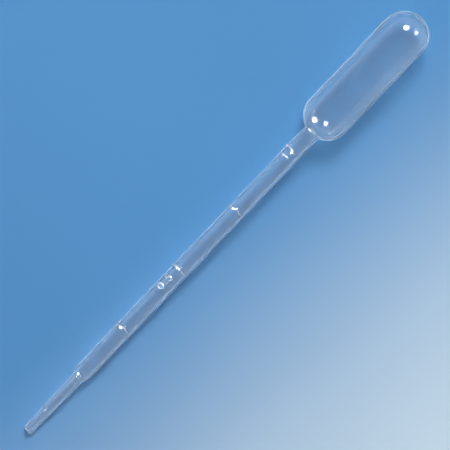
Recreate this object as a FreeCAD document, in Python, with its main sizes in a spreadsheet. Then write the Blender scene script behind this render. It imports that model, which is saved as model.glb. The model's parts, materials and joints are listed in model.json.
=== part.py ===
import FreeCAD, Part  # noqa: E401

# A one-piece dropper pipette of low-density polyethylene, lying at rest on its side.
#
# The pipette is blow-moulded in one shot: a nozzle, a tapered tip, a rounded shoulder, a long
# graduated stem and a squeeze bulb are a single hollow wall, open only at the nozzle. The wall turns
# about one axis, the body's own X, from the cut end of the nozzle to the crown of the bulb. The two
# halves of the mould leave a fine parting line down both sides, and the upper half leaves raised
# graduation ridges.
#
# The body is drawn level. Its placement then tilts it, so that the shoulder and the bulb both touch
# the floor at Z = 0, and rolls it a little about its own axis. The origin is the bottom centre of the
# bounding box.

import math
import os

import Sketcher

NODE = "dropper_pipette"
SHEET = "Dimensions"

# The driving dimensions: name, value in millimetres (or degrees, or a count) and meaning.
SIZES = [
    ("total_length", 155.0, "cut end of the nozzle to the crown of the bulb"),
    ("bulb_length", 43.1, "pole of the bulb's neck dome to the crown"),
    ("bulb_diameter", 13.7, "outside, along the straight of the bulb"),
    ("bulb_wall", 0.45, "wall of the bulb"),
    ("neck_fillet", 0.5, "outside fillet where the stem meets the bulb"),
    ("stem_diameter", 5.1, "outside, along the graduated stem"),
    ("stem_wall", 0.65, "wall of the stem"),
    ("shoulder_radius", 2.4, "outside rounding of the shoulder into the stem"),
    ("shoulder_fillet", 0.8, "outside fillet at the foot of the shoulder"),
    ("tip_length", 20.0, "cut end to the foot of the shoulder"),
    ("tip_root_diameter", 3.35, "outside, at the foot of the shoulder"),
    ("tip_start_diameter", 3.2, "outside, where the tip starts behind the nozzle"),
    ("throat_diameter", 2.1, "bore of the tip behind the nozzle"),
    ("nozzle_length", 6.9, "cut end to the foot of the nozzle's step"),
    ("nozzle_step_length", 0.9, "length of the step from the nozzle to the tip"),
    ("nozzle_root_diameter", 2.95, "outside, at the foot of the nozzle's step"),
    ("nozzle_end_diameter", 2.8, "outside, at the cut end"),
    ("nozzle_bore", 1.3, "bore of the nozzle"),
    ("nozzle_throat_length", 1.6, "length over which the nozzle's bore opens into the tip's"),
    ("first_mark", 38.7, "cut end to the first graduation"),
    ("mark_neck_gap", 6.7, "last graduation to the pole of the bulb's neck dome"),
    ("mark_count", 4, "number of graduations, evenly spaced"),
    ("mark_width", 0.8, "width of a graduation ridge along the stem"),
    ("mark_height", 0.15, "height of a graduation ridge over the stem"),
    ("mark_sweep", 120, "angle that a graduation ridge covers round the stem"),
    ("seam_height", 0.1, "height of the parting line over the wall"),
    ("seam_width", 0.3, "width of the parting line"),
    ("rest_roll", 25, "roll about its own axis as it lies, marks towards +Y"),
]


def size(name):
    """The expression that reads one driving dimension from the spreadsheet."""
    return f"<<{SHEET}>>.{name}"


def make_sheet(doc):
    """Writes the driving dimensions into a spreadsheet, one aliased cell to a row."""
    sheet = doc.addObject("Spreadsheet::Sheet", SHEET)
    for row, (name, value, meaning) in enumerate(SIZES, start=1):
        sheet.set(f"A{row}", name)
        sheet.set(f"B{row}", str(value))
        sheet.set(f"C{row}", meaning)
        sheet.setAlias(f"B{row}", name)
    doc.recompute()


# Places and sizes that follow from the driving dimensions, as expressions.
END_RADIUS = f"({size('nozzle_end_diameter')} / 2)"
STEM_RADIUS = f"({size('stem_diameter')} / 2)"
BULB_RADIUS = f"({size('bulb_diameter')} / 2)"
NECK_POLE = f"({size('total_length')} - {size('bulb_length')})"
NECK_CENTRE = f"({NECK_POLE} + {BULB_RADIUS})"
CROWN_CENTRE = f"({size('total_length')} - {BULB_RADIUS})"
MARK_SPAN = f"({NECK_POLE} - {size('mark_neck_gap')} - {size('first_mark')})"
RIDGE_RADIUS = (
    f"((({size('mark_width')} / 2)^2 + {size('mark_height')}^2) / (2 * {size('mark_height')}))"
)

# Names for the sketcher's numbered parts, and for directions from the level, in radians.
START, END, CENTRE = 1, 2, 3
ORIGIN = (-1, 1)
AXIS = -1
LEVEL = 0.0
BACK = math.pi
UP = math.pi / 2
DOWN = -UP


class WallFace:
    """The half-profile of one face of the moulded wall, with its sizes held as expressions.

    tip lists (distance along the axis, radius) for each corner, from the cut end to the foot of the
    shoulder. The shoulder is an S of two arcs, foot and shoulder, which climbs from there to the
    stem. The bulb is a capsule of radius bulb, with a fillet of radius neck where the stem ends.
    """

    def __init__(self, tip, foot, shoulder, stem, neck, bulb):
        self.tip = tip
        self.foot = foot
        self.shoulder = shoulder
        self.stem = stem
        self.neck = neck
        self.bulb = bulb


def outer_face(proud="0"):
    """The outside of the wall, or a face that stands proud of it by an expression."""
    tip_start = f"{size('nozzle_length')} + {size('nozzle_step_length')}"
    return WallFace(
        tip=[
            ("0", f"{END_RADIUS} + {proud}"),
            (size("nozzle_length"), f"{size('nozzle_root_diameter')} / 2 + {proud}"),
            (tip_start, f"{size('tip_start_diameter')} / 2 + {proud}"),
            (size("tip_length"), f"{size('tip_root_diameter')} / 2 + {proud}"),
        ],
        foot=f"{size('shoulder_fillet')} - {proud}",
        shoulder=f"{size('shoulder_radius')} + {proud}",
        stem=f"{STEM_RADIUS} + {proud}",
        neck=f"{size('neck_fillet')} - {proud}",
        bulb=f"{BULB_RADIUS} + {proud}",
    )


def inner_face():
    """The inside of the wall: the bores of the nozzle, tip and stem, and the inside of the bulb."""
    throat_start = f"{size('nozzle_length')} + {size('nozzle_throat_length')}"
    return WallFace(
        tip=[
            ("0", f"{size('nozzle_bore')} / 2"),
            (size("nozzle_length"), f"{size('nozzle_bore')} / 2"),
            (throat_start, f"{size('throat_diameter')} / 2"),
            (size("tip_length"), f"{size('throat_diameter')} / 2"),
        ],
        foot=f"{size('shoulder_fillet')} + {size('stem_wall')}",
        shoulder=f"{size('shoulder_radius')} - {size('stem_wall')}",
        stem=f"{STEM_RADIUS} - {size('stem_wall')}",
        neck=f"{size('neck_fillet')} + {size('bulb_wall')}",
        bulb=f"{BULB_RADIUS} - {size('bulb_wall')}",
    )


# The axis rises towards the bulb as the pipette lies. The floor touches the neck dome, and whichever
# it meets first of the shoulder and the corners of the tip.
OUTSIDE_PROFILE = "OutsideProfile"
SHOULDER_CENTRE = f"({OUTSIDE_PROFILE}.Constraints.shoulder_along / 1mm)"


def rest_tilt(centre, radius, rounding="0"):
    """The tilt at which the floor touches the neck dome and one ring of the outside.

    The ring's section is an arc of radius rounding, or a sharp corner. Its centre is at a distance
    along the axis, and its outermost radius is radius.
    """
    run = f"({NECK_CENTRE} - ({centre}))"
    rise = f"({radius} - {rounding})"
    return f"(asin(({BULB_RADIUS} - {rounding}) / sqrt({run}^2 + {rise}^2)) - atan({rise} / {run}))"


def rest_placement():
    """The placement that lays the body on the floor, with the origin under its middle."""
    tilts = [rest_tilt(along, radius) for along, radius in outer_face().tip]
    tilts.append(rest_tilt(SHOULDER_CENTRE, STEM_RADIUS, size("shoulder_radius")))
    tilt = f"min({'; '.join(tilts)})"
    crown_reach = f"{CROWN_CENTRE} * cos({tilt}) + {BULB_RADIUS} + {size('seam_height')}"
    middle = f"({crown_reach} - {END_RADIUS} * sin({tilt})) / 2"
    height = f"{BULB_RADIUS} - {NECK_CENTRE} * sin({tilt})"
    return f"placement(vector(-({middle}); 0; {height}); rotation(0; -{tilt}; -{size('rest_roll')}))"


def bearing(start, end):
    """The direction from one point to another."""
    return math.atan2(end.y - start.y, end.x - start.x)


def away(start, distance, direction):
    """The point at a distance and a direction from another."""
    return start + FreeCAD.Vector(math.cos(direction), math.sin(direction), 0) * distance


def leg(slant, rise):
    """The run of a right triangle that has this slant and rise."""
    return math.sqrt(slant**2 - rise**2)


class Draft:
    """A sketch on one of a body's origin planes. Its X runs along the pipette's axis."""

    def __init__(self, body, name, plane):
        self.body = body
        self.sketch = body.newObject("Sketcher::SketchObject", name)
        self.sketch.AttachmentSupport = [(origin_feature(body, plane), "")]
        self.sketch.MapMode = "FlatFace"

    def value(self, expression):
        """What an expression comes to now."""
        return float(self.sketch.evalExpression(expression))

    def point(self, along, radius):
        """The point whose distance along the axis and radius are given as expressions."""
        return FreeCAD.Vector(self.value(along), self.value(radius), 0)

    def line(self, start, end):
        return self.sketch.addGeometry(Part.LineSegment(start, end))

    def arc(self, centre, radius, first, last):
        """An arc that runs counter-clockwise from one direction to another."""
        circle = Part.Circle(centre, FreeCAD.Vector(0, 0, 1), radius)
        return self.sketch.addGeometry(Part.ArcOfCircle(circle, first, last))

    def relate(self, kind, *where):
        """Adds a constraint that has no size."""
        self.sketch.addConstraint(Sketcher.Constraint(kind, *where))

    def dimension(self, name, expression, kind, *where):
        """Adds a constraint with a size, named and bound to an expression."""
        value = self.value(expression)
        index = self.sketch.addConstraint(Sketcher.Constraint(kind, *where, value))
        self.sketch.renameConstraint(index, name)
        self.sketch.setExpression(f"Constraints.{name}", expression)

    def measure(self, name, kind, *where):
        """Adds a constraint that only reads a size, so that expressions can use it."""
        index = self.sketch.addConstraint(Sketcher.Constraint(kind, *where, 0.0))
        self.sketch.setDriving(index, False)
        self.sketch.renameConstraint(index, name)

    def along(self, name, expression, *where):
        """Sets a point's distance along the axis."""
        self.dimension(f"{name}_along", expression, "DistanceX", *ORIGIN, *where)

    def radius(self, name, expression, *where):
        """Sets a point's distance from the axis."""
        self.dimension(f"{name}_radius", expression, "DistanceY", *ORIGIN, *where)

    def close(self):
        """Checks that the drawing is complete, with nothing loose or contradictory."""
        self.body.Document.recompute()
        require(self.sketch.solve() == 0, f"{self.sketch.Name} does not solve")
        require(self.sketch.FullyConstrained, f"{self.sketch.Name} is not fully constrained")
        return self.sketch


def draw_tip(draft, face):
    """Draws the cut end and the straight runs of the tip, and returns the last run and its line."""
    corners = [draft.point(along, radius) for along, radius in face.tip]
    run = draft.line(draft.point("0", "0"), corners[0])
    draft.relate("Coincident", run, START, *ORIGIN)
    draft.relate("Vertical", run)
    draft.radius("tip_0", face.tip[0][1], run, END)
    for number in range(1, len(corners)):
        previous = run
        run = draft.line(corners[number - 1], corners[number])
        draft.relate("Coincident", previous, END, run, START)
        draft.along(f"tip_{number}", face.tip[number][0], run, END)
        draft.radius(f"tip_{number}", face.tip[number][1], run, END)
    return run, corners[-2:]


def draw_wall(draft, face):
    """Draws the closed half-profile between the pipette's axis and one face of its wall."""
    tip, (tip_start, tip_end) = draw_tip(draft, face)
    foot_radius, shoulder_radius = draft.value(face.foot), draft.value(face.shoulder)
    stem_radius, neck_radius = draft.value(face.stem), draft.value(face.neck)
    bulb_radius = draft.value(face.bulb)

    tip_slope = bearing(tip_start, tip_end)
    foot_centre = away(tip_end, foot_radius, tip_slope + UP)
    shoulder_height = stem_radius - shoulder_radius
    shoulder_run = leg(foot_radius + shoulder_radius, foot_centre.y - shoulder_height)
    shoulder_centre = FreeCAD.Vector(foot_centre.x + shoulder_run, shoulder_height, 0)
    shoulder_turn = bearing(foot_centre, shoulder_centre)
    neck_dome_centre = draft.point(NECK_CENTRE, "0")
    neck_height = stem_radius + neck_radius
    neck_run = leg(bulb_radius + neck_radius, neck_height)
    neck_centre = FreeCAD.Vector(neck_dome_centre.x - neck_run, neck_height, 0)
    neck_turn = bearing(neck_centre, neck_dome_centre)
    crown_centre = draft.point(CROWN_CENTRE, "0")

    foot = draft.arc(foot_centre, foot_radius, tip_slope + DOWN, shoulder_turn)
    shoulder = draft.arc(shoulder_centre, shoulder_radius, UP, shoulder_turn + BACK)
    stem = draft.line(away(shoulder_centre, shoulder_radius, UP), away(neck_centre, neck_radius, DOWN))
    neck = draft.arc(neck_centre, neck_radius, DOWN, neck_turn)
    neck_dome = draft.arc(neck_dome_centre, bulb_radius, UP, neck_turn + BACK)
    bulb = draft.line(away(neck_dome_centre, bulb_radius, UP), away(crown_centre, bulb_radius, UP))
    crown = draft.arc(crown_centre, bulb_radius, LEVEL, UP)
    closing = draft.line(away(crown_centre, bulb_radius, LEVEL), draft.point("0", "0"))

    draft.relate("Tangent", tip, END, foot, START)
    draft.relate("Tangent", foot, END, shoulder, END)
    draft.relate("Tangent", shoulder, START, stem, START)
    draft.relate("Tangent", stem, END, neck, START)
    draft.relate("Tangent", neck, END, neck_dome, END)
    draft.relate("Tangent", neck_dome, START, bulb, START)
    draft.relate("Tangent", bulb, END, crown, END)
    draft.relate("Coincident", crown, START, closing, START)
    draft.relate("Coincident", closing, END, *ORIGIN)
    for level in (stem, bulb, closing):
        draft.relate("Horizontal", level)
    for dome in (neck_dome, crown):
        draft.relate("PointOnObject", dome, CENTRE, AXIS)

    draft.dimension("foot", face.foot, "Radius", foot)
    draft.dimension("shoulder", face.shoulder, "Radius", shoulder)
    draft.dimension("neck", face.neck, "Radius", neck)
    draft.dimension("neck_dome", face.bulb, "Radius", neck_dome)
    draft.radius("stem", face.stem, stem, START)
    draft.along("neck_dome", NECK_CENTRE, neck_dome, CENTRE)
    draft.along("crown", CROWN_CENTRE, crown, CENTRE)
    draft.measure("shoulder_along", "DistanceX", *ORIGIN, shoulder, CENTRE)
    return draft.close()


def draw_ridge(draft):
    """Draws the section of a graduation ridge: an arc that rises from the middle of the wall."""
    crest = f"{STEM_RADIUS} + {size('mark_height')}"
    root = f"{STEM_RADIUS} - {size('stem_wall')} / 2"
    centre = draft.point(size("first_mark"), f"{crest} - {RIDGE_RADIUS}")
    radius = draft.value(RIDGE_RADIUS)
    root_drop = draft.value(root) - centre.y
    root_turn = math.asin(root_drop / radius)

    ridge = draft.arc(centre, radius, root_turn, BACK - root_turn)
    base = draft.line(away(centre, radius, BACK - root_turn), away(centre, radius, root_turn))
    draft.relate("Coincident", ridge, END, base, START)
    draft.relate("Coincident", base, END, ridge, START)
    draft.relate("Horizontal", base)
    draft.dimension("ridge", RIDGE_RADIUS, "Radius", ridge)
    draft.along("ridge", size("first_mark"), ridge, CENTRE)
    draft.radius("ridge", f"{crest} - {RIDGE_RADIUS}", ridge, CENTRE)
    draft.radius("base", root, base, START)
    return draft.close()


def origin_feature(body, role):
    """One of the axes or planes of a body's own origin."""
    return next(feature for feature in body.Origin.OriginFeatures if feature.Role == role)


def require(condition, message):
    if not condition:
        raise RuntimeError(message)


def add_feature(body, kind, name, profile, grows, **settings):
    """Adds a feature made from a sketch, and checks that it adds or removes material."""
    before = body.Shape.Volume if body.Tip else 0.0
    feature = body.newObject(f"PartDesign::{kind}", name)
    feature.Profile = profile
    for setting, value in settings.items():
        setattr(feature, setting, value)
    body.Document.recompute()
    after = body.Shape.Volume
    require(after > before if grows else after < before, f"{name} changes nothing")
    return feature


def add_outside(body):
    """Turns the outside of the pipette about its axis, as one solid."""
    profile = draw_wall(Draft(body, OUTSIDE_PROFILE, "XZ_Plane"), outer_face())
    axis = (origin_feature(body, "X_Axis"), "")
    add_feature(body, "Revolution", "Outside", profile, grows=True, ReferenceAxis=axis, Angle=360)


def add_seam(body):
    """Adds the parting line: a thin rib that follows the outline down both sides."""
    profile = draw_wall(Draft(body, "SeamProfile", "XY_Plane"), outer_face(size("seam_height")))
    rib = add_feature(body, "Pad", "SeamRib", profile, grows=True, SideType="Symmetric")
    rib.setExpression("Length", size("seam_width"))
    mirrored = body.newObject("PartDesign::Mirrored", "SeamRibs")
    mirrored.Originals = [rib]
    mirrored.MirrorPlane = (origin_feature(body, "XZ_Plane"), [""])
    body.Tip = mirrored


def add_hollow(body):
    """Turns the hollow of the nozzle, tip, stem and bulb out of the solid."""
    profile = draw_wall(Draft(body, "HollowProfile", "XZ_Plane"), inner_face())
    axis = (origin_feature(body, "X_Axis"), "")
    add_feature(body, "Groove", "Hollow", profile, grows=False, ReferenceAxis=axis, Angle=360)


def add_marks(body):
    """Adds the graduation ridges across the upper half of the stem."""
    profile = draw_ridge(Draft(body, "RidgeProfile", "XZ_Plane"))
    axis = (origin_feature(body, "X_Axis"), "")
    ridge = add_feature(
        body, "Revolution", "FirstMark", profile, grows=True, ReferenceAxis=axis, Midplane=True
    )
    ridge.setExpression("Angle", size("mark_sweep"))
    marks = body.newObject("PartDesign::LinearPattern", "Marks")
    marks.Originals = [ridge]
    marks.Direction = (origin_feature(body, "X_Axis"), [""])
    marks.Mode = "Extent"
    marks.setExpression("Length", MARK_SPAN)
    marks.setExpression("Occurrences", size("mark_count"))
    body.Tip = marks


def make_pipette(doc):
    """Builds the pipette as one body and lays it down."""
    body = doc.addObject("PartDesign::Body", "Pipette")
    body.Label = NODE
    add_outside(body)
    add_seam(body)
    add_hollow(body)
    add_marks(body)
    body.setExpression("Placement", rest_placement())
    doc.recompute()
    return body


def check(doc, body):
    """Stops if any object failed to build, or if the pipette is not one sound solid."""
    for item in doc.Objects:
        faults = {"Invalid", "Error"}.intersection(item.State)
        require(not faults, f"{item.Name} is {faults}")
    shape = body.Shape
    require(not shape.isNull() and shape.isValid(), "the pipette's shape is not valid")
    require(len(shape.Solids) == 1, "the pipette is not one solid")


def main():
    doc = FreeCAD.newDocument("DropperPipette")
    make_sheet(doc)
    body = make_pipette(doc)
    check(doc, body)
    os.makedirs("parts", exist_ok=True)
    body.Shape.exportStep(f"parts/{body.Label}.step")
    box = body.Shape.BoundBox
    print(f"{body.Label}: {box.XLength:.2f} x {box.YLength:.2f} x {box.ZLength:.2f} mm", end=", ")
    print(f"from ({box.XMin:.3f}, {box.YMin:.3f}, {box.ZMin:.3f}), {body.Shape.Volume:.1f} mm3")


main()
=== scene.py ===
"""Looks of a clear dropper pipette that lies on its side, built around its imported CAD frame.

The pipette is one moulded wall, so its look is one closed surface: the outside from the bulb's
crown to the nozzle, over the nozzle's rim, and the inside back to the crown. It wears one clear
finish in three strengths, for the bulb, the stem and the tip. Lengths are in millimetres until a
mesh is made, and the row frame is in metres.
"""

import json
import logging
import math
from dataclasses import dataclass
from enum import Enum, IntEnum
from typing import Sequence

import bpy
import numpy as np
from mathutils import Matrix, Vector


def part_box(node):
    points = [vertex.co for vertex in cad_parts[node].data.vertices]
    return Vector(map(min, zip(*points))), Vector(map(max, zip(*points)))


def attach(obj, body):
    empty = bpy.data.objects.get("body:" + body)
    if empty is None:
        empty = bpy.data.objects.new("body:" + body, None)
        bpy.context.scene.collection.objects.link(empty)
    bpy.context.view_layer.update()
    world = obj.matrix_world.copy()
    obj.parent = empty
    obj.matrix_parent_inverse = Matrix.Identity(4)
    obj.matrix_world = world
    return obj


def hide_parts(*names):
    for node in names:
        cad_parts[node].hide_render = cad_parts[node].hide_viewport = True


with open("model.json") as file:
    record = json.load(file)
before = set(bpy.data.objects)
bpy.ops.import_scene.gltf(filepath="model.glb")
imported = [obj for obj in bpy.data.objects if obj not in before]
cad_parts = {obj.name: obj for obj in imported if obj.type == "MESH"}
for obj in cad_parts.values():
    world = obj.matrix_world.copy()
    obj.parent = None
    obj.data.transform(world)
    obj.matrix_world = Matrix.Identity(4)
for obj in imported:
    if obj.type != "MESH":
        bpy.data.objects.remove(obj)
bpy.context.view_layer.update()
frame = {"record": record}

NODE = "dropper_pipette"
RELIEF = "relief"
MM = 0.001
QUARTER = math.pi / 2
FULL_TURN = 2.0 * math.pi

# How many places a running sum of spacings is taken at.
SUMMED_PLACES = 20001

# A ray's Diffuse Depth is below this until it has left a matt surface.
FIRST_BOUNCE = 0.5

# Where each softbox stands, and the glint before it.
FROM_LEFT = (-0.82, 0.46, 0.345)
FROM_TOP = (0.50, 0.29, 0.80)

log = logging.getLogger("pipette")

Array = np.ndarray
Colour = tuple[float, float, float, float]


class Side(Enum):
    """The two faces of the moulded wall."""

    OUTSIDE = "outside"
    INSIDE = "inside"


class Part(IntEnum):
    """The parts of the wall, by the material slot that each wears."""

    BULB = 0
    STEM = 1
    TIP = 2


# ---------------------------------------------------------------- sections and spacing


def smooth(value: Array) -> Array:
    """Eases a value from 0 to 1, flat at both ends."""
    held = np.clip(value, 0.0, 1.0)
    return held * held * (3.0 - 2.0 * held)


def line(start: Sequence[float], end: Sequence[float], steps: int) -> Array:
    """Points along a straight run, without its last.

    Args:
        start: first (x, radius), in mm.
        end: last (x, radius), in mm.
        steps: how many parts the run has.

    Returns:
        An array of (x, radius) rows.
    """
    share = np.linspace(0.0, 1.0, steps, endpoint=False)[:, None]
    return np.asarray(start) * (1.0 - share) + np.asarray(end) * share


def arc(centre: Sequence[float], radius: float, first: float, last: float, steps: int) -> Array:
    """Points along a circular arc, without its last.

    Args:
        centre: the (x, radius) of its centre, in mm.
        radius: the arc's own radius, in mm.
        first: the direction of its first point from the centre, in radians.
        last: the direction of its last point.
        steps: how many parts the arc has.

    Returns:
        An array of (x, radius) rows.
    """
    turn = np.linspace(first, last, steps, endpoint=False)
    return np.asarray(centre) + radius * np.stack([np.cos(turn), np.sin(turn)], axis=1)


@dataclass(frozen=True)
class Zone:
    """A stretch that is divided finely."""

    centre: float
    reach: float
    step: float


def graded(
    start: float, end: float, step: float, zones: Sequence[Zone], growth: float = 0.3
) -> Array:
    """Places from start to end whose spacing is fine in the zones and widens away from them.

    The spacing wanted at a place is the least of the coarse step and each zone's fine step plus
    growth times the distance outside that zone. The places lie where the running sum of one over
    the wanted spacing passes whole numbers, scaled so that the last one falls on the end.

    Args:
        start: the first place.
        end: the last place, which may be below the first.
        step: the coarse spacing.
        zones: where it is finer.
        growth: how fast the spacing widens with distance.

    Returns:
        The places, both ends among them.
    """
    places = np.linspace(start, end, SUMMED_PLACES)
    wanted = np.full(places.shape, step)
    for zone in zones:
        outside = np.maximum(np.abs(places - zone.centre) - zone.reach, 0.0)
        wanted = np.minimum(wanted, zone.step + growth * outside)
    parts = np.abs(np.diff(places)) * 2.0 / (wanted[1:] + wanted[:-1])
    total = np.concatenate([[0.0], np.cumsum(parts)])
    count = max(int(math.ceil(total[-1])), 1)
    return np.interp(np.linspace(0.0, total[-1], count + 1), total, places)


# ---------------------------------------------------------------- the wall's half section


@dataclass(frozen=True)
class Rings:
    """How many parts each run of a half section has, and the stem's coarse spacing, in mm."""

    crown: int
    bulb: int
    dome: int
    neck: int
    shoulder: int
    foot: int
    tip: int
    step: int
    nozzle: int
    stem: float


@dataclass(frozen=True)
class Section:
    """The half section of the wall, by x along the axis from the nozzle's rim and radius, in mm."""

    length: float = 155.0
    bulb_radius: float = 6.83
    bulb_length: float = 43.1
    bulb_wall: float = 0.45
    neck_fillet: float = 0.5
    inner_neck_fillet: float = 0.95
    stem_radius: float = 2.55
    stem_wall: float = 0.65
    shoulder_radius: float = 2.4
    foot_radius: float = 0.8
    tip_length: float = 20.0
    tip_root: float = 1.675
    tip_start: float = 1.6
    throat: float = 1.05
    nozzle_length: float = 6.9
    step_length: float = 0.9
    nozzle_root: float = 1.475
    nozzle_end: float = 1.4
    bore: float = 0.65
    bore_opening: float = 1.6
    rim_round: float = 0.16
    shoulder_ease: float = 4.0
    outer_rings: Rings = Rings(26, 34, 26, 9, 12, 10, 18, 7, 12, 0.95)
    inner_rings: Rings = Rings(20, 28, 20, 8, 12, 10, 14, 8, 9, 1.2)
    rim_rings: tuple[int, int, int] = (6, 5, 5)

    @property
    def crown_x(self) -> float:
        """Where the crown's centre lies."""
        return self.length - self.bulb_radius

    @property
    def dome_x(self) -> float:
        """Where the centre of the bulb's neck end lies."""
        return self.length - self.bulb_length + self.bulb_radius

    def neck_centre(self, bulb: float, stem: float, fillet: float) -> tuple[float, float]:
        """The centre of the fillet between a stem and a bulb of those radii."""
        reach = math.sqrt((bulb + fillet) ** 2 - (stem + fillet) ** 2)
        return self.dome_x - reach, stem + fillet

    @property
    def foot_centre(self) -> tuple[float, float]:
        """The centre of the concave arc where the tip meets the shoulder.

        Returns:
            Its (x, radius), square to the tip's slope at the tip's root.
        """
        run = self.tip_length - self.nozzle_length - self.step_length
        slope = math.atan2(self.tip_root - self.tip_start, run)
        return (
            self.tip_length - self.foot_radius * math.sin(slope),
            self.tip_root + self.foot_radius * math.cos(slope),
        )

    @property
    def shoulder_centre(self) -> tuple[float, float]:
        """The centre of the shoulder's convex arc.

        Returns:
            Its (x, radius), where that arc touches the stem and the foot's arc.
        """
        height = self.stem_radius - self.shoulder_radius
        foot_x, foot_height = self.foot_centre
        between = self.shoulder_radius + self.foot_radius
        return foot_x + math.sqrt(between**2 - (foot_height - height) ** 2), height

    def outside(self, zones: Sequence[Zone]) -> Array:
        """The outside, from just off the crown's pole to the nozzle's rim.

        Args:
            zones: the stretches of the stem that carry relief.

        Returns:
            An array of (x, radius) rows.
        """
        neck = self.neck_centre(self.bulb_radius, self.stem_radius, self.neck_fillet)
        lean = math.atan2(neck[1], self.dome_x - neck[0])
        shoulder, foot = self.shoulder_centre, self.foot_centre
        rise = math.atan2(foot[1] - shoulder[1], shoulder[0] - foot[0])
        rings, rim, bulb = self.outer_rings, self.rim_round, self.bulb_radius
        stem_x = graded(neck[0], shoulder[0], rings.stem, zones)[:-1]
        step_top = (self.nozzle_length + self.step_length, self.tip_start)
        step_foot = (self.nozzle_length, self.nozzle_root)
        over, across, into = self.rim_rings
        parts = [
            arc((self.crown_x, 0.0), bulb, 0.0, QUARTER, rings.crown)[1:],
            line((self.crown_x, bulb), (self.dome_x, bulb), rings.bulb),
            arc((self.dome_x, 0.0), bulb, QUARTER, math.pi - lean, rings.dome),
            arc(neck, self.neck_fillet, -lean, -QUARTER, rings.neck),
            np.stack([stem_x, np.full(stem_x.shape, self.stem_radius)], axis=1),
            arc(shoulder, self.shoulder_radius, QUARTER, math.pi - rise, rings.shoulder),
            arc(foot, self.foot_radius, -rise, -QUARTER, rings.foot),
            line((self.tip_length, self.tip_root), step_top, rings.tip),
            line(step_top, step_foot, rings.step),
            line(step_foot, (rim, self.nozzle_end), rings.nozzle),
            arc((rim, self.nozzle_end - rim), rim, QUARTER, math.pi, over),
            line((0.0, self.nozzle_end - rim), (0.0, self.bore + rim), across),
            arc((rim, self.bore + rim), rim, math.pi, 3 * QUARTER, into),
        ]
        return np.concatenate(parts)

    def inside(self, zones: Sequence[Zone]) -> Array:
        """The inside, from the bore just past the rim to just off the crown's pole.

        Args:
            zones: the stretches of the stem whose relief shows on the inside too.

        Returns:
            An array of (x, radius) rows.
        """
        bulb, stem = self.bulb_radius - self.bulb_wall, self.stem_radius - self.stem_wall
        neck = self.neck_centre(bulb, stem, self.inner_neck_fillet)
        lean = math.atan2(neck[1], self.dome_x - neck[0])
        shoulder, foot = self.shoulder_centre, self.foot_centre
        rise = math.atan2(foot[1] - shoulder[1], shoulder[0] - foot[0])
        foot_arc = foot[1] - self.throat
        shoulder_arc = math.hypot(foot[0] - shoulder[0], foot[1] - shoulder[1]) - foot_arc
        rings = self.inner_rings
        opened = self.nozzle_length + self.bore_opening
        stem_x = graded(shoulder[0], neck[0], rings.stem, zones)[:-1]
        ease = smooth((stem_x - shoulder[0]) / self.shoulder_ease)
        stem_radius = (shoulder[1] + shoulder_arc) * (1.0 - ease) + stem * ease
        parts = [
            line((self.rim_round, self.bore), (self.nozzle_length, self.bore), rings.nozzle),
            line((self.nozzle_length, self.bore), (opened, self.throat), rings.step),
            line((opened, self.throat), (foot[0], self.throat), rings.tip),
            arc(foot, foot_arc, -QUARTER, -rise, rings.foot),
            arc(shoulder, shoulder_arc, math.pi - rise, QUARTER, rings.shoulder),
            np.stack([stem_x, stem_radius], axis=1),
            arc(neck, self.inner_neck_fillet, -QUARTER, -lean, rings.neck),
            arc((self.dome_x, 0.0), bulb, math.pi - lean, QUARTER, rings.dome),
            line((self.dome_x, bulb), (self.crown_x, bulb), rings.bulb),
            arc((self.crown_x, 0.0), bulb, QUARTER, 0.0, rings.crown),
        ]
        return np.concatenate(parts)


# ---------------------------------------------------------------- relief


def raised(distance: Array, half_width: float, crest: float = 0.0) -> Array:
    """A rounded ridge's share of its height at a distance from its middle line.

    Args:
        distance: how far from the middle line.
        half_width: where the ridge ends.
        crest: the share of the half width that is level.

    Returns:
        The share, from 0 to 1.
    """
    return 1.0 - smooth((distance / half_width - crest) / (1.0 - crest))


def stroke_distance(points: Array, strokes: Sequence[Array]) -> Array:
    """How far each point lies from the nearest of some drawn strokes.

    Each stroke is a row of joined segments. A point is dropped onto every segment's line, held
    between its ends, and the shortest of the distances counts.

    Args:
        points: an (n, 2) array.
        strokes: arrays of (x, y) rows.

    Returns:
        n distances.
    """
    starts = np.concatenate([stroke[:-1] for stroke in strokes])
    ends = np.concatenate([stroke[1:] for stroke in strokes])
    along = ends - starts
    square = (along**2).sum(axis=1)
    offset = points[:, None, :] - starts[None, :, :]
    share = np.clip((offset * along[None, :, :]).sum(axis=2) / square[None, :], 0.0, 1.0)
    nearest = offset - share[:, :, None] * along[None, :, :]
    return np.sqrt((nearest**2).sum(axis=2)).min(axis=1)


def bow(
    centre: Sequence[float], radii: Sequence[float], first: float, last: float, steps: int
) -> Array:
    """An elliptical stroke between two directions, in degrees, its last point kept."""
    turn = np.radians(np.linspace(first, last, steps + 1))
    return np.asarray(centre) + np.asarray(radii) * np.stack([np.cos(turn), np.sin(turn)], axis=1)


class Numeral(Enum):
    """Plain drawn numerals."""

    ZERO = "0"
    ONE = "1"
    FIVE = "5"
    POINT = "."


# Each numeral is one unit high, and its strokes are about its own left foot.
STROKES: dict[Numeral, tuple[Array, ...]] = {
    Numeral.ZERO: (bow((0.33, 0.5), (0.33, 0.5), 90, 450, 24),),
    Numeral.ONE: (np.array([(0.0, 0.74), (0.26, 1.0), (0.26, 0.0)]),),
    Numeral.FIVE: (
        np.array([(0.6, 1.0), (0.1, 1.0), (0.04, 0.55)]),
        bow((0.28, 0.31), (0.33, 0.31), 125, -140, 16),
    ),
    Numeral.POINT: (np.array([(0.0, 0.02), (0.02, 0.0)]),),
}


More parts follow.
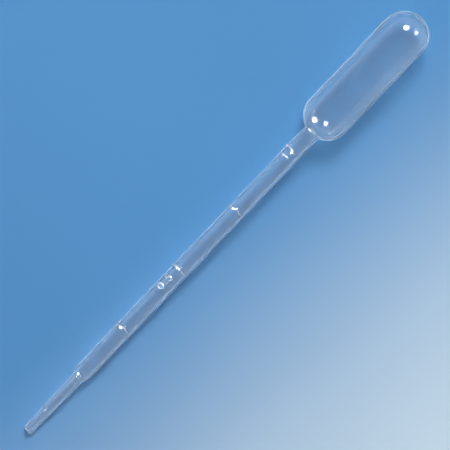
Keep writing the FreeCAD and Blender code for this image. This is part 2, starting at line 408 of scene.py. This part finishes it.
@dataclass(frozen=True)
class Lettering:
    """A raised number beside a graduation, read from the nozzle towards the bulb."""

    numerals: tuple[tuple[Numeral, float], ...]
    start: float
    height: float = 2.0
    half_stroke: float = 0.32
    proud: float = 0.14
    numeral_width: float = 0.7

    @property
    def end(self) -> float:
        """The x where its last numeral ends, about."""
        return self.start + self.numerals[-1][1] + self.numeral_width * self.height

    def strokes(self) -> list[Array]:
        """All its strokes, scaled from one unit high and laid along the stem.

        Returns:
            Arrays of rows, x along the stem and way round it, in mm.
        """
        lift = np.array([0.0, -0.5 * self.height])
        return [
            stroke * self.height + lift + np.array([self.start + place, 0.0])
            for numeral, place in self.numerals
            for stroke in STROKES[numeral]
        ]

    def relief(self, x: Array, round_way: Array) -> Array:
        """How far it stands proud, worked out only near its strokes.

        Args:
            x: along the axis, in mm.
            round_way: the way round the stem from the scale's middle, in mm.

        Returns:
            The height, in mm.
        """
        height = np.zeros(x.shape)
        margin = 2.0 * self.half_stroke
        near = (x > self.start - margin) & (x < self.end + margin)
        near &= np.abs(round_way) < self.height
        if near.any():
            points = np.stack([x[near], round_way[near]], axis=1)
            distance = stroke_distance(points, self.strokes())
            height[near] = self.proud * raised(distance, self.half_stroke)
        return height


@dataclass(frozen=True)
class Scale:
    """The graduations, their numbers and the parting line of the mould, all moulded proud.

    A span's two numbers are where it starts or ends and how long it takes, in mm.
    """

    first: float = 38.7
    span: float = 66.5
    count: int = 4
    half_width: float = 0.6
    proud: float = 0.3
    crest: float = 0.1
    end_ease: float = 0.6
    wander: float = 0.3
    wander_lobes: float = 3.0
    wander_starts: tuple[float, ...] = (2.1, 2.8, 2.4, 4.2)
    mark_step: float = 0.085
    word_share: float = 1.4
    word_step: float = 0.095
    word_margin: float = 0.1
    half_sweep: float = math.radians(60.0)
    stem_ends: tuple[float, float] = (24.0, 111.0)
    seam_half_width: float = 0.2
    seam_proud: tuple[float, float] = (0.02, 0.035)
    seam_start: float = 7.0
    seam_swell: tuple[float, float] = (112.0, 6.0)
    seam_fade: tuple[float, float] = (151.0, 5.0)
    lettering: tuple[Lettering, ...] = (
        Lettering(((Numeral.ZERO, 0.0), (Numeral.POINT, 2.2), (Numeral.FIVE, 3.15)), 53.6),
        Lettering(((Numeral.ONE, 0.0),), 102.4, proud=0.12),
    )

    @property
    def marks(self) -> Array:
        """The x of each graduation."""
        return self.first + self.span * np.arange(self.count) / (self.count - 1)

    def mark_zones(self, step: float) -> list[Zone]:
        """Where rows that follow the graduations have to be as fine as a step."""
        return [Zone(float(x), self.half_width + self.wander, step) for x in self.marks]

    def zones(self) -> list[Zone]:
        """Where the outside's rows have to be fine.

        Returns:
            A stretch for each graduation and one for each number.
        """
        words = [
            Zone(
                0.5 * (word.start + word.end),
                0.5 * (word.end - word.start) + self.word_margin,
                self.word_step,
            )
            for word in self.lettering
        ]
        return self.mark_zones(self.mark_step) + words

    def graduations(self, x: Array, turn: Array, radius: Array) -> Array:
        """How far the graduations alone stand proud, with round ends and a slightly wavy run.

        A place's distance from a graduation's middle line runs along x, and past the end of the
        sweep also round the stem. The middle line moves to and fro along x by a sine of the way
        round, which starts elsewhere on each graduation.

        Args:
            x: along the axis, in mm.
            turn: round the axis, in radians, with the scale's middle at a quarter turn.
            radius: the plain radius there.

        Returns:
            The height, in mm.
        """
        past = np.maximum(np.abs(QUARTER - turn) - self.half_sweep, 0.0) * radius
        phase = self.wander_lobes * turn[..., None] + self.wander_starts
        middle = self.marks + self.wander * np.sin(phase)
        along = np.abs(x[..., None] - middle).min(axis=-1)
        distance = np.hypot(along, self.end_ease * past)
        return self.proud * raised(distance, self.half_width, self.crest)

    def words(self, x: Array, turn: Array, radius: Array) -> Array:
        """How far the numbers stand proud, in mm."""
        return sum(word.relief(x, (QUARTER - turn) * radius) for word in self.lettering)

    def share(self, x: Array, turn: Array, radius: Array) -> Array:
        """Where graduations and numbers are, for the finish to follow.

        Args:
            x: along the axis, in mm.
            turn: round the axis, in radians, with the scale's middle at a quarter turn.
            radius: the plain radius there.

        Returns:
            The share, 0 on the plain wall, 1 on a graduation's crest and word_share on a number's.
        """
        marks = self.graduations(x, turn, radius) / self.proud
        words = self.words(x, turn, radius) / self.lettering[0].proud
        return np.where(self.on_stem(x), np.maximum(marks, self.word_share * words), 0.0)

    def on_stem(self, x: Array) -> Array:
        """Whether places are on the plain stem."""
        return (x > self.stem_ends[0]) & (x < self.stem_ends[1])

    def relief(self, x: Array, turn: Array, radius: Array) -> Array:
        """How far the outside stands proud of its plain form.

        The graduations and the numbers are on the stem, and the parting line runs in the plane
        across the scale's middle, all the way along.

        Args:
            x: along the axis, in mm.
            turn: round the axis, in radians, with the scale's middle at a quarter turn.
            radius: the plain radius there.

        Returns:
            The height, in mm.
        """
        moulded = np.maximum(self.graduations(x, turn, radius), self.words(x, turn, radius))
        aside = radius * np.abs(np.sin(turn))
        low, high = self.seam_proud
        swell_start, swell = self.seam_swell
        fade_end, fade = self.seam_fade
        proud = low + (high - low) * smooth((x - swell_start) / swell)
        seam = proud * raised(aside, self.seam_half_width) * (x > self.seam_start)
        seam *= smooth((fade_end - x) / fade)
        return np.maximum(np.where(self.on_stem(x), moulded, 0.0), seam)


@dataclass(frozen=True)
class Unevenness:
    """Slow waves of a blown wall: how far a face lies below its true form, in mm.

    A blend's or a fade's two numbers are where it starts and how long it takes, in mm.
    """

    seed: int
    stem: float
    bulb: float
    waves: int = 9
    pitches: tuple[float, float] = (5.5, 19.0)
    lobes: int = 4
    gain: float = 1.6
    bulb_blend: tuple[float, float] = (110.0, 8.0)
    pole_fade: tuple[float, float] = (0.9, 1.6)
    rim_fade: tuple[float, float] = (0.3, 6.0)

    def depth(self, x: Array, turn: Array, radius: Array) -> Array:
        """The depth at places on the wall.

        A sum of cosines, each with its own pitch along the axis, whole number of turns round it
        (below lobes) and phase, is held between 0 and 1, then times the stem's or the bulb's
        depth, which blend along the axis. At the poles and on the nozzle's rim it fades out.

        Args:
            x: along the axis, in mm.
            turn: round the axis, in radians.
            radius: the plain radius there, in mm.

        Returns:
            The depth, in mm, never below 0.
        """
        random = np.random.default_rng(self.seed)
        pitch = random.uniform(*self.pitches, self.waves)
        lobes = random.integers(0, self.lobes, self.waves)
        phase = random.uniform(0.0, FULL_TURN, self.waves)
        weight = pitch / pitch.sum()
        total = sum(
            w * np.cos(FULL_TURN * x / p + n * turn + f)
            for w, p, n, f in zip(weight, pitch, lobes, phase)
        )
        blend, poles, rim = (
            smooth((value - start) / length)
            for value, (start, length) in (
                (x, self.bulb_blend),
                (radius, self.pole_fade),
                (x, self.rim_fade),
            )
        )
        reach = self.stem * (1.0 - blend) + self.bulb * blend
        return reach * (poles * rim) * (0.5 + 0.5 * np.clip(self.gain * total, -1.0, 1.0))


# ---------------------------------------------------------------- the wall


@dataclass(frozen=True)
class Resting:
    """How the pipette lies in the row frame: a point of its axis, the axis and its roll."""

    origin: Vector
    along: Vector
    roll: float = math.radians(25.0)

    @classmethod
    def from_record(cls, record: dict) -> "Resting":
        """Reads the place of the nozzle's rim and the axis from the record's bore mount.

        Args:
            record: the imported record, whose bore mount sits half its length inside the rim.

        Returns:
            How the pipette lies.
        """
        bore = next(mount for mount in record["mounts"] if mount["name"] == "nozzle_bore")
        along = -Vector(bore["axis"])
        half = 0.5 * bore["dims"]["length_mm"] * MM
        return cls(Vector(bore["pos_m"]) - along * half, along)

    def axes(self) -> Array:
        """The pipette's own three directions in the row frame.

        Returns:
            Rows along the axis, across it and up from it. The last two are level and upright
            before the roll.
        """
        along = np.asarray(self.along, float)
        along /= np.linalg.norm(along)
        across = np.cross((0.0, 0.0, 1.0), along)
        across /= np.linalg.norm(across)
        up = np.cross(along, across)
        c, s = math.cos(self.roll), math.sin(self.roll)
        return np.stack([along, across * c - up * s, up * c + across * s])

    def place(self, points: Array) -> Array:
        """Turns points along, across and up from the nozzle's rim, in mm, into the row frame."""
        return np.asarray(self.origin, float) + (points * MM) @ self.axes()


@dataclass
class PipetteWall:
    """The whole moulded wall as one closed surface.

    Round the wall, the parting lines, the numbers and the graduations' ends are divided finely:
    each has a half width in radians and a step in parts of fine_turn.
    """

    section: Section
    scale: Scale
    resting: Resting
    outer_waves: Unevenness = Unevenness(seed=11, stem=0.1, bulb=0.2)
    inner_waves: Unevenness = Unevenness(seed=23, stem=0.09, bulb=0.12)
    inner_share: float = 0.8
    inner_mark_step: float = 0.13
    neck_share: float = 0.8
    neck_reach: float = 1.3
    taper: float = 0.07
    taper_start: tuple[float, float] = (112.5, 5.0)
    taper_end: tuple[float, float] = (144.0, 24.0)
    least_radius: float = 0.02
    turn_step: float = math.radians(5.6)
    fine_turn: float = math.radians(1.0)
    seam_turns: tuple[float, float] = (math.radians(1.6), 0.7)
    word_turns: tuple[float, float] = (math.radians(21.0), 2.2)
    end_turns: tuple[float, float] = (math.radians(4.0), 2.6)
    past_ends: float = math.radians(2.0)

    def turns(self) -> Array:
        """The directions round the axis, fine at the scale and at both parting lines.

        Returns:
            Radians from 0 up to a full turn, which is left out.
        """
        ends = self.scale.half_sweep + self.past_ends
        fine = (
            (0.0, self.seam_turns),
            (math.pi, self.seam_turns),
            (FULL_TURN, self.seam_turns),
            (QUARTER, self.word_turns),
            (QUARTER - ends, self.end_turns),
            (QUARTER + ends, self.end_turns),
        )
        zones = [Zone(turn, reach, parts * self.fine_turn) for turn, (reach, parts) in fine]
        return graded(0.0, FULL_TURN, self.turn_step, zones)[:-1]

    def grid(self, side: Side) -> Array:
        """The rings of one face.

        Each ring has one x and one plain radius from the half section. The relief, the waves and
        the bulb's slight taper change the radius, and cosine and sine turn it about the axis.

        Args:
            side: which face.

        Returns:
            A (ring, column, 4) array: the place along, across and up, in mm, and the share of
            relief there.
        """
        section, scale = self.section, self.scale
        if side is Side.OUTSIDE:
            rows = section.outside(scale.zones())
        else:
            rows = section.inside(scale.mark_zones(self.inner_mark_step))
        turn = self.turns()[None, :]
        x = np.repeat(rows[:, :1], turn.shape[1], axis=1)
        plain = np.repeat(rows[:, 1:], turn.shape[1], axis=1)
        turn = np.repeat(turn, len(rows), axis=0)
        if side is Side.OUTSIDE:
            radius = plain - self.outer_waves.depth(x, turn, plain) + scale.relief(x, turn, plain)
        else:
            radius = plain - self.inner_waves.depth(x, turn, plain)
            radius += self.inner_share * scale.graduations(x, turn, plain)
        start, rise = self.taper_start
        end, fall = self.taper_end
        narrowing = self.taper * smooth((x - start) / rise) * smooth((end - x) / fall)
        narrowing *= plain / section.bulb_radius
        radius = np.maximum(radius - narrowing, self.least_radius)
        neck_x = section.neck_centre(
            section.bulb_radius, section.stem_radius, section.neck_fillet
        )[0]
        neck = self.neck_share * raised(np.abs(x - neck_x), self.neck_reach)
        share = np.maximum(scale.share(x, turn, plain), neck)
        return np.stack([x, radius * np.cos(turn), radius * np.sin(turn), share], axis=2)

    def build(self) -> bpy.types.Object:
        """Makes the mesh: two poles, the rings between them, quads along, triangles at the poles.

        Returns:
            The wall's object, with the share of relief as a point attribute.
        """
        section = self.section
        rings = np.concatenate([self.grid(Side.OUTSIDE), self.grid(Side.INSIDE)])
        count, columns = rings.shape[:2]
        middle = 0.5 * (rings[1:, 0, 0] + rings[:-1, 0, 0])
        bulb_or_stem = np.where(middle < section.dome_x, Part.STEM, Part.BULB)
        part = np.where(middle < section.tip_length, Part.TIP, bulb_or_stem)
        poles = np.zeros((2, 4))
        poles[:, 0] = section.length, section.length - section.bulb_wall
        points = np.concatenate([rings.reshape(-1, 4), poles])
        this = np.arange(columns)
        after = np.roll(this, -1)
        ring = np.arange(count - 1)[:, None] * columns
        following = ring + columns
        corners = [ring + this, following + this, following + after, ring + after]
        quads = np.stack(corners, axis=2)
        outer_pole, inner_pole = count * columns, count * columns + 1
        last = (count - 1) * columns
        crown = np.stack([np.full(columns, outer_pole), this, after], axis=1)
        hollow = np.stack([np.full(columns, inner_pole), last + after, last + this], axis=1)
        faces = quads.reshape(-1, 4).tolist() + crown.tolist() + hollow.tolist()
        mesh = bpy.data.meshes.new("pipette_wall")
        mesh.from_pydata(self.resting.place(points[:, :3]).tolist(), [], faces)
        mesh.update()
        mesh.shade_smooth()
        slots = np.zeros(len(faces), dtype=np.int32)
        slots[: part.size * columns] = np.repeat(part, columns)
        mesh.polygons.foreach_set("material_index", slots)
        relief = mesh.attributes.new(RELIEF, "FLOAT", "POINT")
        relief.data.foreach_set("value", points[:, 3].astype(np.float32))
        piece = bpy.data.objects.new("pipette_wall", mesh)
        bpy.context.scene.collection.objects.link(piece)
        return piece


# ---------------------------------------------------------------- finishes


class Nodes:
    """A short way to add and join shader nodes."""

    def __init__(self, tree: bpy.types.NodeTree) -> None:
        """Keeps the tree that the nodes go into."""
        self.tree = tree

    def add(self, kind: str, values: dict | None = None, **settings: object) -> bpy.types.Node:
        """Adds a node.

        Args:
            kind: the node's type, without the ShaderNode that all of them start with.
            values: input sockets by name or number, each a plain value or a socket to join.
            settings: the node's own properties.

        Returns:
            The node.
        """
        node = self.tree.nodes.new(kind if kind.startswith("Node") else f"ShaderNode{kind}")
        for name, setting in settings.items():
            setattr(node, name, setting)
        for key, value in (values or {}).items():
            socket = node.inputs[key]
            if isinstance(value, bpy.types.NodeSocket):
                self.tree.links.new(value, socket)
            else:
                socket.default_value = value
        return node

    def maths(self, operation: str, *values: object) -> bpy.types.NodeSocket:
        """The result of a Math node."""
        return self.add("Math", dict(enumerate(values)), operation=operation).outputs[0]

    def ramp(
        self, value: object, low: float, high: float, to_low: float, to_high: float
    ) -> bpy.types.NodeSocket:
        """Maps a value's range onto another, smoothly and held at both ends."""
        inputs = {0: value, 1: low, 2: high, 3: to_low, 4: to_high}
        return self.add("MapRange", inputs, interpolation_type="SMOOTHSTEP").outputs[0]

    def blend(self, share: object, first: Colour, second: Colour) -> bpy.types.NodeSocket:
        """The colour between two colours, by a share from 0 to 1."""
        inputs = {"Factor": share, 6: first, 7: second}
        return self.add("Mix", inputs, data_type="RGBA").outputs[2]


def new_group(
    name: str, inputs: dict[str, str], outputs: dict[str, str]
) -> tuple[bpy.types.NodeTree, Nodes]:
    """Starts a shader node group.

    Args:
        name: the group's name.
        inputs: socket names and their types.
        outputs: socket names and their types.

    Returns:
        The group and its node maker.
    """
    tree = bpy.data.node_groups.new(name, "ShaderNodeTree")
    for in_out, sockets in (("INPUT", inputs), ("OUTPUT", outputs)):
        for socket, kind in sockets.items():
            tree.interface.new_socket(socket, in_out=in_out, socket_type=kind)
    return tree, Nodes(tree)


def fine_relief() -> bpy.types.NodeTree:
    """Makes a group that gives the normal of a surface with slow ripples and fine grain.

    Returns:
        The group, whose depths are in metres.
    """
    tree, nodes = new_group(
        "fine_relief",
        {
            "Position": "NodeSocketVector",
            "Ripple Scale": "NodeSocketFloat",
            "Ripple Depth": "NodeSocketFloat",
            "Grain Scale": "NodeSocketFloat",
            "Grain Depth": "NodeSocketFloat",
        },
        {"Normal": "NodeSocketVector"},
    )
    given = nodes.add("NodeGroupInput").outputs
    heights = []
    for kind, detail in (("Ripple", 1.0), ("Grain", 2.0)):
        inputs = {
            "Vector": given["Position"],
            "Scale": given[f"{kind} Scale"],
            "Detail": detail,
        }
        noise = nodes.add("TexNoise", inputs)
        heights.append(nodes.maths("MULTIPLY", noise.outputs[0], given[f"{kind} Depth"]))
    height = nodes.maths("ADD", *heights)
    bump = nodes.add("Bump", {"Strength": 1.0, "Distance": 1.0, "Height": height})
    nodes.add("NodeGroupOutput", {"Normal": bump.outputs[0]})
    return tree


def cloudiness(low: float = 0.3, high: float = 0.7) -> bpy.types.NodeTree:
    """Makes a group that gives a soft, slow mask from 0 to 1 for uneven colour and gloss.

    Args:
        low: the noise level below which the mask is 0.
        high: the noise level above which it is 1.

    Returns:
        The group.
    """
    tree, nodes = new_group(
        "cloudiness",
        {"Position": "NodeSocketVector", "Scale": "NodeSocketFloat"},
        {"Mask": "NodeSocketFloat"},
    )
    given = nodes.add("NodeGroupInput").outputs
    inputs = {
        "Vector": given["Position"],
        "Scale": given["Scale"],
        "Detail": 3.0,
        "Roughness": 0.55,
    }
    noise = nodes.add("TexNoise", inputs)
    nodes.add("NodeGroupOutput", {"Mask": nodes.ramp(noise.outputs[0], low, high, 0.0, 1.0)})
    return tree


def new_material(name: str) -> tuple[bpy.types.Material, Nodes, bpy.types.Node]:
    """Starts a material.

    Args:
        name: the material's name.

    Returns:
        The material with only its output node, its node maker and that output.
    """
    material = bpy.data.materials.new(name)
    material.use_nodes = True
    material.node_tree.nodes.clear()
    nodes = Nodes(material.node_tree)
    return material, nodes, nodes.add("OutputMaterial")


@dataclass(frozen=True)
class ClearPolyethylene:
    """Thin, clear low-density polyethylene: a little milky, glossy, with the mould's slow ripples.

    The tip and the nozzle hold more material for their size and cooled more slowly, so they are
    milkier, which is the same finish with other values. The wall is met from the air with its
    haze and its sheen, and from inside the plastic without them, since they belong to its skin
    and would stain a long way through it. Scales are per metre, and depths in metres.
    """

    name: str = "clear_polyethylene"
    body: Colour = (0.98, 0.98, 0.982, 1.0)
    shade: Colour = (0.957, 0.959, 0.967, 1.0)
    clearness: float = 0.98
    index: float = 1.51
    gloss: tuple[float, float] = (0.02, 0.045)
    nozzle_frost: float = 0.12
    relief_frost: float = 0.24
    sheen: float = 1.0
    sheen_roughness: float = 0.45
    sheen_tint: Colour = (0.85, 0.94, 1.0, 1.0)
    cloud_scale: float = 140.0
    ripple_scale: float = 420.0
    ripple_depth: float = 0.00003
    grain_scale: float = 3500.0
    grain_depth: float = 0.0000012
    frost_ends: tuple[float, float] = (5.5, 9.0)

    def build(
        self, relief: bpy.types.NodeTree, cloud: bpy.types.NodeTree, nozzle: float
    ) -> bpy.types.Material:
        """Makes the material.

        Args:
            relief: the fine relief group.
            cloud: the cloudiness group.
            nozzle: the x of the nozzle's rim in the row frame. From there the nozzle's frost is
                full up to the first of frost_ends, in mm, and gone at the second.

        Returns:
            The material.
        """
        material, nodes, output = new_material(self.name)
        place = nodes.add("TexCoord").outputs["Object"]
        inputs = {"Position": place, "Scale": self.cloud_scale}
        mask = nodes.add("Group", inputs, node_tree=cloud).outputs[0]
        x = nodes.add("SeparateXYZ", {0: place}).outputs[0]
        full, gone = (nozzle + end * MM for end in self.frost_ends)
        frost = nodes.ramp(x, full, gone, self.nozzle_frost, 0.0)
        moulded = nodes.add("Attribute", attribute_name=RELIEF).outputs["Fac"]
        frost = nodes.maths("ADD", frost, nodes.maths("MULTIPLY", moulded, self.relief_frost))
        inputs = {
            "Position": place,
            "Ripple Scale": self.ripple_scale,
            "Ripple Depth": self.ripple_depth,
            "Grain Scale": self.grain_scale,
            "Grain Depth": self.grain_depth,
        }
        normal = nodes.add("Group", inputs, node_tree=relief).outputs[0]
        gloss = nodes.ramp(mask, 0.0, 1.0, *self.gloss)
        shared = {
            "Base Color": nodes.blend(mask, self.shade, self.body),
            "Roughness": nodes.maths("ADD", gloss, frost),
            "IOR": self.index,
            "Normal": normal,
        }
        skin = {
            "Transmission Weight": self.clearness,
            "Sheen Weight": self.sheen,
            "Sheen Roughness": self.sheen_roughness,
            "Sheen Tint": self.sheen_tint,
        }
        from_air = nodes.add("BsdfPrincipled", shared | skin).outputs[0]
        from_inside = nodes.add("BsdfPrincipled", shared | {"Transmission Weight": 1.0}).outputs[0]
        behind = nodes.add("NewGeometry").outputs["Backfacing"]
        both = nodes.add("MixShader", {0: behind, 1: from_air, 2: from_inside})
        nodes.tree.links.new(both.outputs[0], output.inputs[0])
        return material


@dataclass(frozen=True)
class PaleSheet:
    """A plain matt sheet, pale blue, a little paler towards one corner."""

    name: str = "pale_sheet"
    near: Colour = (0.1, 0.295, 0.59, 1.0)
    far: Colour = (0.64, 0.79, 0.91, 1.0)
    reach: tuple[float, float] = (-0.01, 0.105)
    direction: tuple[float, float] = (-0.12, -1.0)
    roughness: float = 0.8
    cloud_scale: float = 6.0
    unevenness: float = 0.004

    def build(self, cloud: bpy.types.NodeTree) -> bpy.types.Material:
        """Makes the material, whose colour changes along one direction over the floor.

        Args:
            cloud: the cloudiness group.

        Returns:
            The material.
        """
        material, nodes, output = new_material(self.name)
        place = nodes.add("NewGeometry").outputs["Position"]
        inputs = {0: place, 1: (*self.direction, 0.0)}
        along = nodes.add("VectorMath", inputs, operation="DOT_PRODUCT").outputs["Value"]
        inputs = {"Position": place, "Scale": self.cloud_scale}
        mask = nodes.add("Group", inputs, node_tree=cloud).outputs[0]
        uneven = nodes.maths("ADD", along, nodes.maths("MULTIPLY", mask, self.unevenness))
        share = nodes.ramp(uneven, *self.reach, 0.0, 1.0)
        inputs = {
            "Base Color": nodes.blend(share, self.near, self.far),
            "Roughness": self.roughness,
            "Specular IOR Level": 0.0,
        }
        shader = nodes.add("BsdfPrincipled", inputs)
        nodes.tree.links.new(shader.outputs[0], output.inputs[0])
        return material


# ---------------------------------------------------------------- the studio


class Role(Enum):
    """What a lamp does: a key lights and shows in gloss, a fill only lights, a glint only shows."""

    KEY = "key"
    FILL = "fill"
    GLINT = "glint"


@dataclass(frozen=True)
class Lamp:
    """An oval softbox that faces the pipette."""

    name: str
    direction: tuple[float, float, float]
    distance: float
    width: float
    height: float
    power: float
    role: Role = Role.KEY

    def build(self, aim: Vector) -> bpy.types.Object:
        """Makes the lamp, turned towards a point.

        Args:
            aim: the point that it faces.

        Returns:
            The lamp's object.
        """
        light = bpy.data.lights.new(self.name, "AREA")
        light.shape = "ELLIPSE"
        light.size, light.size_y = self.width, self.height
        light.energy = self.power
        lamp = bpy.data.objects.new(self.name, light)
        way = Vector(self.direction).normalized()
        lamp.location = aim + way * self.distance
        lamp.rotation_euler = way.to_track_quat("Z", "Y").to_euler()
        lamp.visible_glossy = lamp.visible_transmission = self.role is not Role.FILL
        if self.role is Role.GLINT:
            lamp.visible_diffuse = False
            self.keep_off_bounces(light)
        bpy.context.scene.collection.objects.link(lamp)
        return lamp

    @staticmethod
    def keep_off_bounces(light: bpy.types.Light) -> None:
        """Puts a light out for every ray that has left a matt surface, so that it lights nothing.

        Args:
            light: the light, which gets its own nodes.
        """
        light.use_nodes = True
        light.node_tree.nodes.clear()
        nodes = Nodes(light.node_tree)
        depth = nodes.add("LightPath").outputs["Diffuse Depth"]
        seen = nodes.maths("LESS_THAN", depth, FIRST_BOUNCE)
        shader = nodes.add("Emission", {"Strength": seen})
        nodes.add("OutputLight", {0: shader.outputs[0]})


@dataclass(frozen=True)
class Overhead:
    """A camera that looks straight down, turned so that the pipette lies corner to corner."""

    centre: tuple[float, float] = (0.00056, -0.00025)
    height: float = 0.4056
    lens: float = 118.0
    turn: float = math.radians(-46.35)
    sensor: float = 36.0
    clip: tuple[float, float] = (0.01, 50.0)

    def build(self) -> bpy.types.Object:
        """Makes the camera and sets it as the scene's.

        Returns:
            The camera's object.
        """
        data = bpy.data.cameras.new("overhead")
        data.lens = self.lens
        data.sensor_width = self.sensor
        data.clip_start, data.clip_end = self.clip
        camera = bpy.data.objects.new("overhead", data)
        camera.location = (*self.centre, self.height)
        camera.rotation_euler = (0.0, 0.0, self.turn)
        bpy.context.scene.collection.objects.link(camera)
        bpy.context.scene.camera = camera
        return camera


@dataclass(frozen=True)
class Sky:
    """A surrounding whose colour changes from the horizon to overhead."""

    level: Colour
    above: Colour
    start: float
    end: float

    def background(self, nodes: Nodes, height: bpy.types.NodeSocket) -> bpy.types.Node:
        """Makes its Background shader.

        Args:
            nodes: the world's node maker.
            height: the upward part of a direction, from 0 at the horizon to 1 overhead.

        Returns:
            The shader's node.
        """
        share = nodes.ramp(height, self.start, self.end, 0.0, 1.0)
        colour = nodes.blend(share, self.level, self.above)
        return nodes.add("Background", {"Color": colour, "Strength": 1.0})


@dataclass(frozen=True)
class Studio:
    """A plain pale floor, soft light from all round, two softboxes, two low strips, two glints."""

    floor_half: float = 0.95
    floor_parts: int = 8
    light: Sky = Sky((0.42, 0.44, 0.47, 1.0), (0.06, 0.065, 0.07, 1.0), 0.2, 0.6)
    seen: Sky = Sky((0.62, 0.68, 0.78, 1.0), (0.30, 0.36, 0.48, 1.0), 0.05, 0.6)
    lamps: tuple[Lamp, ...] = (
        Lamp("softbox_left", FROM_LEFT, 1.0, 0.45, 0.45, 3.0),
        Lamp("softbox_top", FROM_TOP, 1.0, 0.45, 0.45, 8.6),
        Lamp("fill_right", (0.3, -0.94, 0.035), 1.2, 0.8, 0.07, 11.0, Role.FILL),
        Lamp("fill_left", (-0.3, 0.94, 0.045), 1.2, 0.8, 0.07, 7.0, Role.FILL),
        Lamp("glint_left", FROM_LEFT, 0.98, 0.33, 0.33, 72.0, Role.GLINT),
        Lamp("glint_top", FROM_TOP, 0.98, 0.31, 0.31, 66.0, Role.GLINT),
    )

    def world(self) -> None:
        """Lights the scene all round, and shows a plain pale sky where it is seen."""
        world = bpy.data.worlds.new("studio")
        world.use_nodes = True
        world.node_tree.nodes.clear()
        nodes = Nodes(world.node_tree)
        way = nodes.add("TexCoord").outputs["Generated"]
        height = nodes.add("SeparateXYZ", {0: way}).outputs[2]
        light = self.light.background(nodes, height)
        shown = self.seen.background(nodes, height)
        path = nodes.add("LightPath").outputs
        direct = nodes.maths("MAXIMUM", path["Is Camera Ray"], path["Is Glossy Ray"])
        direct = nodes.maths("MAXIMUM", direct, path["Is Transmission Ray"])
        early = nodes.maths("LESS_THAN", path["Diffuse Depth"], FIRST_BOUNCE)
        direct = nodes.maths("MULTIPLY", direct, early)
        mix = nodes.add("MixShader", {0: direct, 1: light.outputs[0], 2: shown.outputs[0]})
        nodes.add("OutputWorld", {0: mix.outputs[0]})
        bpy.context.scene.world = world

    def floor(self, finish: bpy.types.Material) -> bpy.types.Object:
        """Lays the floor under everything, a level grid of squares with its top at zero.

        Args:
            finish: the floor's material.

        Returns:
            The floor's object.
        """
        parts, row = self.floor_parts, self.floor_parts + 1
        side = np.linspace(-self.floor_half, self.floor_half, row)
        x, y = np.meshgrid(side, side, indexing="ij")
        points = np.stack([x.ravel(), y.ravel(), np.zeros(x.size)], axis=1)
        cell = (np.arange(parts)[:, None] * row + np.arange(parts)[None, :]).ravel()
        faces = np.stack([cell, cell + row, cell + row + 1, cell + 1], axis=1)
        mesh = bpy.data.meshes.new("studio_floor")
        mesh.from_pydata(points.tolist(), [], faces.tolist())
        mesh.materials.append(finish)
        mesh.update()
        floor = bpy.data.objects.new("studio_floor", mesh)
        bpy.context.scene.collection.objects.link(floor)
        return floor

    def build(self, finish: bpy.types.Material, aim: Vector) -> None:
        """Makes the world, the floor and the lamps.

        Args:
            finish: the floor's material.
            aim: the point that the lamps face.
        """
        self.world()
        self.floor(finish)
        for lamp in self.lamps:
            lamp.build(aim)


def trace_clear_plastic(bounces: int = 24) -> None:
    """Lets light through the clear wall as it goes through the real one.

    Cycles blurs gloss and glass in bounced light, which turns the floor under a clear wall grey,
    so that blur is off. Light that runs round inside the wall before it leaves needs more bounces
    than the usual 12, or the wall's edges turn black. Caustics by reflection are off, because
    they only add noise. Caustics by refraction stay on, and light the floor through the wall.

    Args:
        bounces: the most times that light may turn.
    """
    cycles = bpy.context.scene.cycles
    cycles.blur_glossy = 0.0
    cycles.caustics_reflective = False
    cycles.max_bounces = cycles.transmission_bounces = cycles.glossy_bounces = bounces


def main() -> None:
    """Builds the pipette's look, its finish, the studio and the camera."""
    logging.basicConfig(level=logging.INFO, format="%(message)s")
    relief, cloud = fine_relief(), cloudiness()
    resting = Resting.from_record(frame["record"])
    wall = PipetteWall(Section(), Scale(), resting)
    piece = wall.build()
    finishes = {
        Part.BULB: ClearPolyethylene("thin_polyethylene", clearness=0.988, sheen_roughness=0.41),
        Part.STEM: ClearPolyethylene("clear_polyethylene"),
        Part.TIP: ClearPolyethylene("milky_polyethylene", clearness=0.962, sheen_roughness=0.46),
    }
    for part in Part:
        piece.data.materials.append(finishes[part].build(relief, cloud, resting.origin.x))
    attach(piece, "root")
    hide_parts(NODE)
    sizes = len(piece.data.vertices), len(piece.data.polygons)
    log.info("%s: %d points, %d faces", piece.name, *sizes)
    low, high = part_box(NODE)
    Studio().build(PaleSheet().build(cloud), (low + high) * 0.5)
    log.info("studio: floor, world and lamps")
    Overhead().build()
    trace_clear_plastic()
    bpy.context.scene.view_settings.view_transform = "Standard"


if __name__ == "__main__":
    main()
